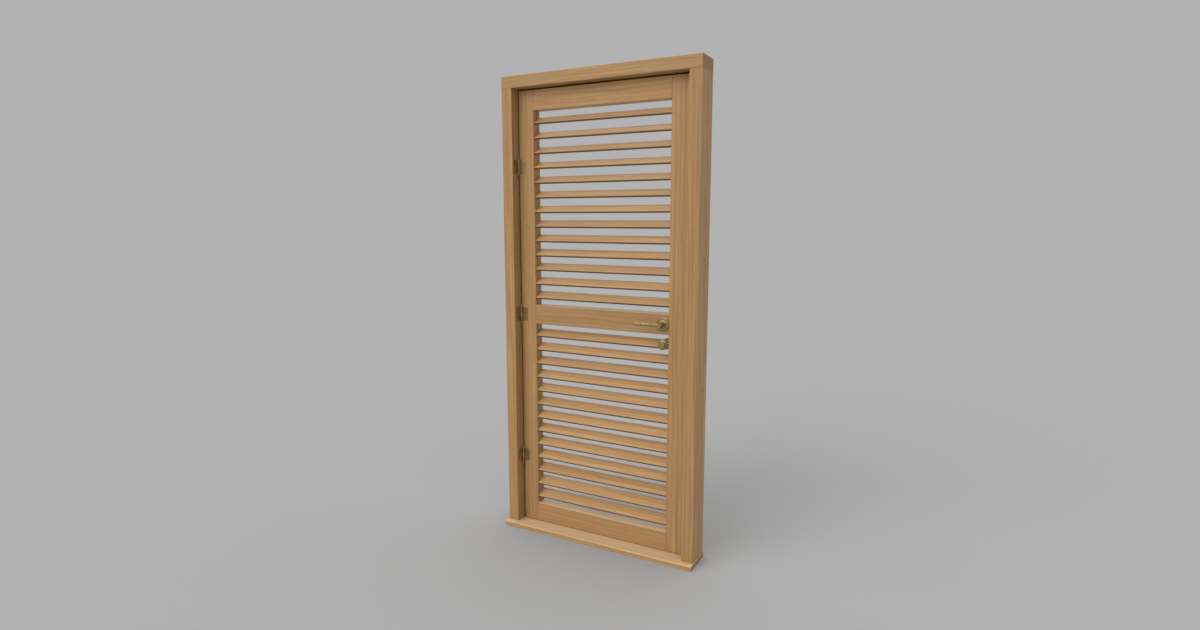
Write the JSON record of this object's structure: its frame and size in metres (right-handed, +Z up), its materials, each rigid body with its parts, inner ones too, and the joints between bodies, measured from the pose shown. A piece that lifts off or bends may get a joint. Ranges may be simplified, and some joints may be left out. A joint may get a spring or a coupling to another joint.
{
  "type": "louvred door with frame",
  "caption": "Wooden louvred door leaf with fixed sloping slats, hung in a timber frame with planted stops and a sill, with brass hinges, a lever latch and a keyed bolt.",
  "frame": {"origin": "on the sill's underside, midway between the jambs, in the plane of the frame's front face", "axes": "+X from the hinge jamb to the strike jamb, +Y into the wall from the front, +Z up"},
  "size_m": [0.974, 0.178, 2.15],
  "materials": {
    "frame_timber": "oiled, satin",
    "leaf_timber": "oiled, satin",
    "slat_timber": "oiled, satin",
    "aged_brass": "aged, satin",
    "lock_steel": "zinc plated"
  },
  "bodies": {
    "frame": {"sill": "frame_timber", "hinge_jamb": "frame_timber", "strike_jamb": "frame_timber", "head": "frame_timber", "door_stops": "frame_timber", "upper_hinge_frame_plate": "aged_brass", "middle_hinge_frame_plate": "aged_brass", "lower_hinge_frame_plate": "aged_brass", "hinge_pins": "aged_brass", "frame_screws": "aged_brass", "strike_plates": "aged_brass"},
    "leaf": {"hinge_stile": "leaf_timber", "lock_stile": "leaf_timber", "top_rail": "leaf_timber", "lock_rail": "leaf_timber", "bottom_rail": "leaf_timber", "upper_slat_1": "slat_timber", "upper_slat_2": "slat_timber", "upper_slat_3": "slat_timber", "upper_slat_4": "slat_timber", "upper_slat_5": "slat_timber", "upper_slat_6": "slat_timber", "upper_slat_7": "slat_timber", "upper_slat_8": "slat_timber", "upper_slat_9": "slat_timber", "upper_slat_10": "slat_timber", "upper_slat_11": "slat_timber", "upper_slat_12": "slat_timber", "upper_slat_13": "slat_timber", "lower_slat_1": "slat_timber", "lower_slat_2": "slat_timber", "lower_slat_3": "slat_timber", "lower_slat_4": "slat_timber", "lower_slat_5": "slat_timber", "lower_slat_6": "slat_timber", "lower_slat_7": "slat_timber", "lower_slat_8": "slat_timber", "lower_slat_9": "slat_timber", "lower_slat_10": "slat_timber", "lower_slat_11": "slat_timber", "lower_slat_12": "slat_timber", "lower_slat_13": "slat_timber", "upper_hinge_door_plate": "aged_brass", "middle_hinge_door_plate": "aged_brass", "lower_hinge_door_plate": "aged_brass", "leaf_screws": "aged_brass", "latch_case": "lock_steel", "deadbolt_case": "lock_steel", "front_rose": "aged_brass", "rear_rose": "aged_brass", "front_escutcheon": "aged_brass", "rear_escutcheon": "aged_brass"},
    "lever": {"front_lever": "aged_brass", "rear_lever": "aged_brass", "spindle": "lock_steel", "latch_follower": "lock_steel", "lever_grub_screws": "lock_steel"},
    "latch": {"latch_bolt": "aged_brass"},
    "key": {"key_plug": "aged_brass"},
    "deadbolt": {"dead_bolt": "aged_brass"}
  },
  "joints": [
    {"name": "door_swing", "type": "hinge", "parent": "frame", "child": "leaf", "pos_m": [-0.4246, 0.0446, 1.0565], "axis": [0, 0, -1], "range_deg": [0, 95]},
    {"name": "lever_turn", "type": "hinge", "parent": "leaf", "child": "lever", "pos_m": [0.31, 0.076, 1.0565], "axis": [0, -1, 0], "range_deg": [0, 40], "stiffness_Nm_per_rad": 1.2, "springref_deg": -28.65},
    {"name": "latch_slide", "type": "slide", "parent": "leaf", "child": "latch", "axis": [-1, 0, 0], "range_m": [0, 0.012]},
    {"name": "key_turn", "type": "hinge", "parent": "leaf", "child": "key", "pos_m": [0.31, 0.076, 0.9655], "axis": [0, -1, 0], "range_deg": [0, 90]},
    {"name": "deadbolt_throw", "type": "slide", "parent": "leaf", "child": "deadbolt", "axis": [1, 0, 0], "range_m": [0, 0.02]}
  ],
  "couplings": [
    {"joint": "latch_slide", "follows": "lever_turn", "m_per_rad": 0.017188},
    {"joint": "key_turn", "follows": "deadbolt_throw", "rad_per_m": 78.54}
  ]
}
